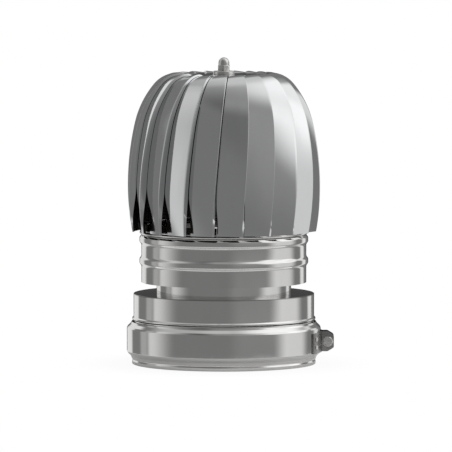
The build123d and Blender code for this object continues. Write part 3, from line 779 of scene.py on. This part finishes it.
def vane_sections():
    """Share, radius, height and tilt of each section, from the foot to the end between the crown's discs."""
    shares = [step / RIDGE_STEPS for step in range(RIDGE_STEPS + 1)]
    sections = [(share, *ridge_point(share)) for share in shares]
    _, crown_radius, crown_z, _ = sections[-1]
    for step in range(1, DIP_STEPS + 1):
        share = step / DIP_STEPS
        radius = crown_radius + (DIP_END - crown_radius) * share
        height = crown_z + (VANE_END_Z - crown_z) * (1 - math.cos(math.pi * share)) / 2
        sections.append((1 + share * DIP_RUN, radius, height, math.pi / 2))
    for step in range(1, END_STEPS + 1):
        radius = DIP_END + (VANE_END_RADIUS - DIP_END) * step / END_STEPS
        sections.append((1 + DIP_RUN, radius, VANE_END_Z, math.pi / 2))
    return sections


def skin(rings, start=0):
    """Faces of a closed tube through rings of points, with its two ends."""
    count = len(rings[0])
    last = start + (len(rings) - 1) * count
    faces = tube_faces(len(rings) - 1, count, start)
    faces.append(tuple(range(start, start + count)))
    faces.append(tuple(reversed(range(last, last + count))))
    return faces


def make_vanes():
    """All the vanes of the head, each with its lug, with painted shade on the flue side."""
    sections = vane_sections()
    inner_points = FACE_STEPS + 2
    for index in range(VANE_COUNT):
        turn = 360 * index / VANE_COUNT
        rings = [vane_ring(*section, turn) for section in sections]
        lug = [lug_ring(VANE_FOOT, turn), lug_ring(LUG_TOP, turn)]
        count = len(rings[0])
        tip = count - inner_points - 1
        points = [point for ring in rings + lug for point in ring]
        sheet = skin(rings)
        faces = sheet + skin(lug, len(rings) * count)
        # Faces on the flue side and of the lug, which take the painted shade.
        shaded_faces = [row * count + column for row in range(len(rings) - 1) for column in range(tip, count)]
        shaded_faces += range(len(sheet), len(faces))
        name = f"vane_{index + 1:02d}"
        piece(
            f"{name}_sheet", points, faces, VANE_STEEL, "rotor", [name],
            VANE_FOLD_ANGLE, (VANE_INSIDE_SHADE, shaded_faces),
        )


# Crown

CAP_STEPS = 160
BOSS_STEPS = 96
NUT_STEPS = 48
ROUND_FLATS = 100.0
NUT_FOLD_ANGLE = 38.0


def make_cap():
    """Cap disc on the vane ends."""
    chamfer = 0.3
    chamfer_round = 0.2
    edge_draft = 0.2
    edge_round = 0.4
    edge_flat = 3.0
    flat_round = 0.5
    cap_foot = low("crown_cap").z
    outline = closed_outline([
        (crown_bore, cap_foot, 0),
        (cap_radius - chamfer, cap_foot, chamfer_round),
        (cap_radius, cap_foot + chamfer, chamfer_round),
        (cap_radius - edge_draft, cap_top, edge_round),
        (cap_radius - edge_flat, cap_top, flat_round),
        (crown_bore, cap_top, 0),
        (crown_bore, cap_foot, 0),
    ])
    points, faces = lathe(outline, CAP_STEPS)
    piece("crown_disc", points, faces, VANE_STEEL, "rotor", ["crown_cap"])


def make_boss():
    """Turned boss under the dome nut."""
    foot_round = 0.3
    top_round = 0.9
    boss_radius = high("crown_boss").x
    outline = closed_outline([
        (crown_bore, boss_foot, 0),
        (boss_radius, boss_foot, foot_round),
        (boss_radius, nut_foot, top_round),
        (crown_bore, nut_foot, 0),
        (crown_bore, boss_foot, 0),
    ])
    points, faces = lathe(outline, BOSS_STEPS)
    piece("boss_disc", points, faces, FASTENER_STEEL, "rotor", ["crown_boss"])


def hex_ring(flats, height, reach):
    """Points round a hexagon whose corners are cut by a cone of the given reach."""
    ring = []
    for step in range(NUT_STEPS):
        angle = 2 * math.pi * step / NUT_STEPS
        inside = (angle + math.pi / 6) % (math.pi / 3) - math.pi / 6
        radius = min(flats / 2 / math.cos(inside), reach)
        ring.append((radius * math.cos(angle), radius * math.sin(angle), height))
    return ring


def make_dome_nut():
    """Cap nut: hexagon with chamfered corners, a short neck and a domed top."""
    flats = 13.0
    corner = flats / math.sqrt(3)
    hex_height = 6.5
    foot_chamfer = 0.7
    top_chamfer = 0.9
    shoulder_drop = 0.3
    shoulder_reach = 0.35
    top_share = 0.98
    dome = 6.1
    dome_steps = 10
    neck_rise = 0.05
    hex_top = nut_foot + hex_height
    neck = nut_top - dome
    rings = [
        hex_ring(flats, nut_foot, flats / 2),
        hex_ring(flats, nut_foot + foot_chamfer, corner),
        hex_ring(flats, hex_top - top_chamfer, corner),
        hex_ring(flats, hex_top - shoulder_drop, flats / 2 + shoulder_reach),
        hex_ring(flats, hex_top, flats / 2 * top_share),
        hex_ring(ROUND_FLATS, hex_top + neck_rise, dome),
        hex_ring(ROUND_FLATS, neck, dome),
    ]
    for step in range(1, dome_steps):
        swing = math.pi / 2 * step / dome_steps
        rings.append(hex_ring(ROUND_FLATS, neck + dome * math.sin(swing), dome * math.cos(swing)))
    points = [tuple(value * MM for value in point) for ring in rings for point in ring]
    last = (len(rings) - 1) * NUT_STEPS
    tip = len(points)
    points.append((0.0, 0.0, nut_top * MM))
    faces = tube_faces(len(rings) - 1, NUT_STEPS)
    faces += [(last + column, last + (column + 1) % NUT_STEPS, tip) for column in range(NUT_STEPS)]
    faces.append(tuple(reversed(range(NUT_STEPS))))
    piece(
        "dome_nut_shell", points, faces, FASTENER_STEEL, "rotor", ["dome_nut"],
        NUT_FOLD_ANGLE,
    )


# Clamp and the pieces that keep the frame's own shape

KEPT_FOLD_ANGLE = 30.0


def dress(node, material):
    """Gives a piece of the frame its finish, in every slot."""
    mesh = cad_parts[node].data
    mesh.materials.clear()
    mesh.materials.append(material)
    for polygon in mesh.polygons:
        polygon.material_index = 0
    shade(mesh, KEPT_FOLD_ANGLE)


def make_kept_pieces():
    """Finishes of the pieces whose shape comes from the frame."""
    for node in ["clamp_ear_front", "clamp_ear_rear"]:
        dress(node, CLAMP_STEEL)
    for node in ["clamp_bolt", "clamp_nut", "clamp_washers", "ear_rivets", "housing_rivets"]:
        dress(node, FASTENER_STEEL)
    for node in [
        "bearing_housing", "bearing_outer_races", "bearing_inner_races", "bearing_balls", "ball_cages",
        "circlips", "rotor_shaft", "lower_lock_nut", "bearing_spacer", "rotor_sleeve",
    ]:
        dress(node, BEARING_STEEL)
    for node in ["closing_ring", "bearing_bridge", "insulation_retainer", "crown_plate"]:
        dress(node, SHELL_STEEL)
    dress("insulation", WOOL)


# Studio


def band_of(finish, angle, rise, fall):
    """Soft-edged panel between two angles: each edge is given as the angles where it starts and ends."""
    return finish.smooth(angle, *rise) * (1 - finish.smooth(angle, *fall))


def make_studio():
    """White room, seen behind the cowl."""
    world = bpy.data.worlds.new("studio")
    bpy.context.scene.world = world
    studio = Finish("studio", world)
    made = studio.node("ShaderNodeBackground", None, {"Color": WHITE, "Strength": 1.0})
    output = studio.node("ShaderNodeOutputWorld")
    studio.tree.links.new(made.outputs["Background"], output.inputs["Surface"])


def stage_mesh(name, points, faces, material):
    """Part of the studio."""
    mesh = bpy.data.meshes.new(name)
    mesh.from_pydata(points, [], faces)
    mesh.materials.append(material)
    made = bpy.data.objects.new(name, mesh)
    bpy.context.scene.collection.objects.link(made)
    return made


def tent_walls(cloth, azimuth, rise, back):
    """Light of the tent's walls by azimuth, which is 0 in front and grows to the right, and by rise.

    A tall soft box stands at the right, a smaller one at the left, and a strip behind at each side.
    """
    grey = 0.215
    box_foot, box_gain = 0.54, 0.32
    box_shift, box_wrap = 12.0, 26.0
    hot_edge_light = 0.2
    left_light, left_edge_light = 0.5, 0.22
    right_strip_light, left_strip_light = 0.64, 0.62
    front_light, front_shade, rear_depth = 0.13, 0.03, 0.14
    left = azimuth * -1.0
    shift = cloth.smooth(rise, -6.0, 12.0) * box_shift
    wrap = cloth.smooth(rise, 10.0, 30.0) * box_wrap
    right_box = cloth.smooth(azimuth + shift, 59.0, 81.0) * (1 - cloth.smooth(azimuth - wrap, 102.0, 120.0))
    right_box = right_box * (cloth.smooth(rise, 2.0, 16.0) * box_gain + box_foot)
    hot_edge = band_of(cloth, azimuth, (90.0, 100.0), (108.0, 118.0))
    hot_edge = hot_edge * cloth.smooth(rise, 6.0, 14.0) * hot_edge_light
    left_box = band_of(cloth, left, (58.0, 96.0), (97.0, 105.0)) * left_light
    left_box = left_box + band_of(cloth, left, (101.0, 106.0), (113.0, 120.0)) * left_edge_light
    strips = band_of(cloth, azimuth, (131.0, 138.0), (146.0, 151.0)) * right_strip_light
    strips = strips + band_of(cloth, left, (136.0, 143.0), (162.0, 170.0)) * left_strip_light
    strips = strips * (1 - cloth.smooth(rise, 26.0, 34.0))
    front_right = cloth.smooth(azimuth, 2.0, 22.0) * cloth.smooth(rise, -30.0, 22.0)
    front_right = front_right * (1 - cloth.smooth(azimuth, 60.0, 90.0)) * front_light
    front_left = band_of(cloth, left, (-8.0, 8.0), (24.0, 44.0))
    front_left = front_left * band_of(cloth, rise, (8.0, 22.0), (44.0, 60.0)) * front_shade
    rear_shade = cloth.smooth(back, 0.93, 0.98) * (1 - cloth.smooth(rise, 14.0, 30.0)) * rear_depth
    return grey + right_box + hot_edge + left_box + strips + front_right - front_left - rear_shade


def tent_roof(cloth, across, back):
    """Light of the tent's roof, brighter behind and to the right."""
    front_light, rear_gain = 0.33, 0.37
    right_light, left_depth = 0.5, 0.2
    left = across * -1.0
    roof_right = cloth.smooth(across, 0.1, 0.45) * cloth.smooth(back, -0.65, -0.25) * right_light
    roof_left = cloth.smooth(left, 0.1, 0.4) * (1 - cloth.smooth(left, 0.5, 0.7)) * left_depth
    return front_light + cloth.smooth(back, -0.55, 0.15) * rear_gain + roof_right - roof_left


def make_tent():
    """Light tent round the cowl, bright by the direction from its middle."""
    radius, rows, turns = 5.0, 24, 72
    middle_z = 0.15
    ground_light = 0.4
    degrees = 180 / math.pi
    cloth = Finish("tent_cloth")
    aim = cloth.node("ShaderNodeVectorMath", {"operation": "NORMALIZE"}, {0: cloth.place(UNSTRETCHED)})
    parts = cloth.node("ShaderNodeSeparateXYZ", None, {0: cloth.out(aim, "Vector")})
    across = cloth.out(parts, "X")
    back = cloth.out(parts, "Y")
    azimuth = cloth.maths("ARCTAN2", across, back * -1.0) * degrees
    rise = cloth.maths("ARCSINE", cloth.out(parts, "Z")) * degrees
    raised = cloth.smooth(rise, 34.0, 52.0)
    ground = cloth.smooth(rise * -1.0, 19.0, 34.0)
    glow = tent_walls(cloth, azimuth, rise, back) * (1 - raised) + tent_roof(cloth, across, back) * raised
    glow = glow * (1 - ground) + ground * ground_light
    light = cloth.node("ShaderNodeEmission", None, {"Color": glow, "Strength": 1.0})
    output = cloth.node("ShaderNodeOutputMaterial")
    cloth.tree.links.new(light.outputs[0], output.inputs["Surface"])
    points = []
    for row in range(rows + 1):
        tilt = math.pi * row / rows - math.pi / 2
        for turn in range(turns):
            angle = 2 * math.pi * turn / turns
            reach = radius * math.cos(tilt)
            points.append((reach * math.cos(angle), reach * math.sin(angle), radius * math.sin(tilt)))
    tent = stage_mesh("tent_cloth", points, tube_faces(rows, turns), cloth.owner)
    tent.location.z = middle_z
    tent.visible_camera = False


def make_floor():
    """Pale floor that keeps a faint shadow and fades into the white of the room."""
    radius, turns = 0.2, 96
    drop = 0.0005
    paper_grey = (0.9, 0.9, 0.9, 1.0)
    seen_fade, mirrored_fade = 0.06, 0.9
    finish = Finish("floor_paper")
    glow = finish.node("ShaderNodeEmission", None, {"Color": WHITE, "Strength": 1.0})
    paper = finish.node("ShaderNodeBsdfDiffuse", None, {"Color": paper_grey})
    parts = finish.node("ShaderNodeSeparateXYZ", None, {0: finish.place(UNSTRETCHED)})
    reach = (finish.out(parts, "X") ** 2 + finish.out(parts, "Y") ** 2) ** 0.5
    light_path = finish.node("ShaderNodeLightPath")
    camera_ray = finish.out(light_path, "Is Camera Ray")
    mirror_ray = finish.out(light_path, "Is Glossy Ray") + finish.out(light_path, "Is Transmission Ray")
    seen = camera_ray * (finish.smooth(reach, 0.1, 0.18) * seen_fade + (1 - seen_fade))
    mirrored = mirror_ray * (finish.smooth(reach, 0.14, 0.2) * mirrored_fade + (1 - mirrored_fade))
    mix = finish.node("ShaderNodeMixShader", None, {0: finish.maths("ADD", seen, mirrored, clamp=True)})
    finish.tree.links.new(paper.outputs[0], mix.inputs[1])
    finish.tree.links.new(glow.outputs[0], mix.inputs[2])
    output = finish.node("ShaderNodeOutputMaterial")
    finish.tree.links.new(mix.outputs[0], output.inputs["Surface"])
    points = []
    for turn in range(turns):
        angle = 2 * math.pi * turn / turns
        points.append((radius * math.cos(angle), radius * math.sin(angle), -drop))
    stage_mesh("floor", points, [tuple(range(turns))], finish.owner)


def make_camera():
    """Long lens, a little above the middle of the cowl, at the photograph's angle."""
    frame_pixels = 452
    pixel = 1.107 * MM
    focal_pixels = 6000
    aim_x_pixels = 2.15
    aim_z_pixels = 137.5
    elevation = math.radians(4.1)
    target = Vector((aim_x_pixels * pixel, 0, aim_z_pixels * pixel))
    data = bpy.data.cameras.new("camera")
    data.sensor_width = 36.0
    data.lens = data.sensor_width * focal_pixels / frame_pixels
    data.clip_end = 100.0
    camera = bpy.data.objects.new("camera", data)
    away = Vector((0, -math.cos(elevation), math.sin(elevation)))
    camera.location = target + away * focal_pixels * pixel
    camera.rotation_euler = (-away).to_track_quat("-Z", "Y").to_euler()
    bpy.context.scene.collection.objects.link(camera)
    bpy.context.scene.camera = camera


make_collar()
make_casing()
make_adapter()
make_band()
make_lid()
make_liner()
make_rotor_ring()
make_vanes()
make_cap()
make_boss()
make_dome_nut()
make_kept_pieces()
make_studio()
make_tent()
make_floor()
make_camera()

bpy.context.scene.view_settings.view_transform = "Standard"
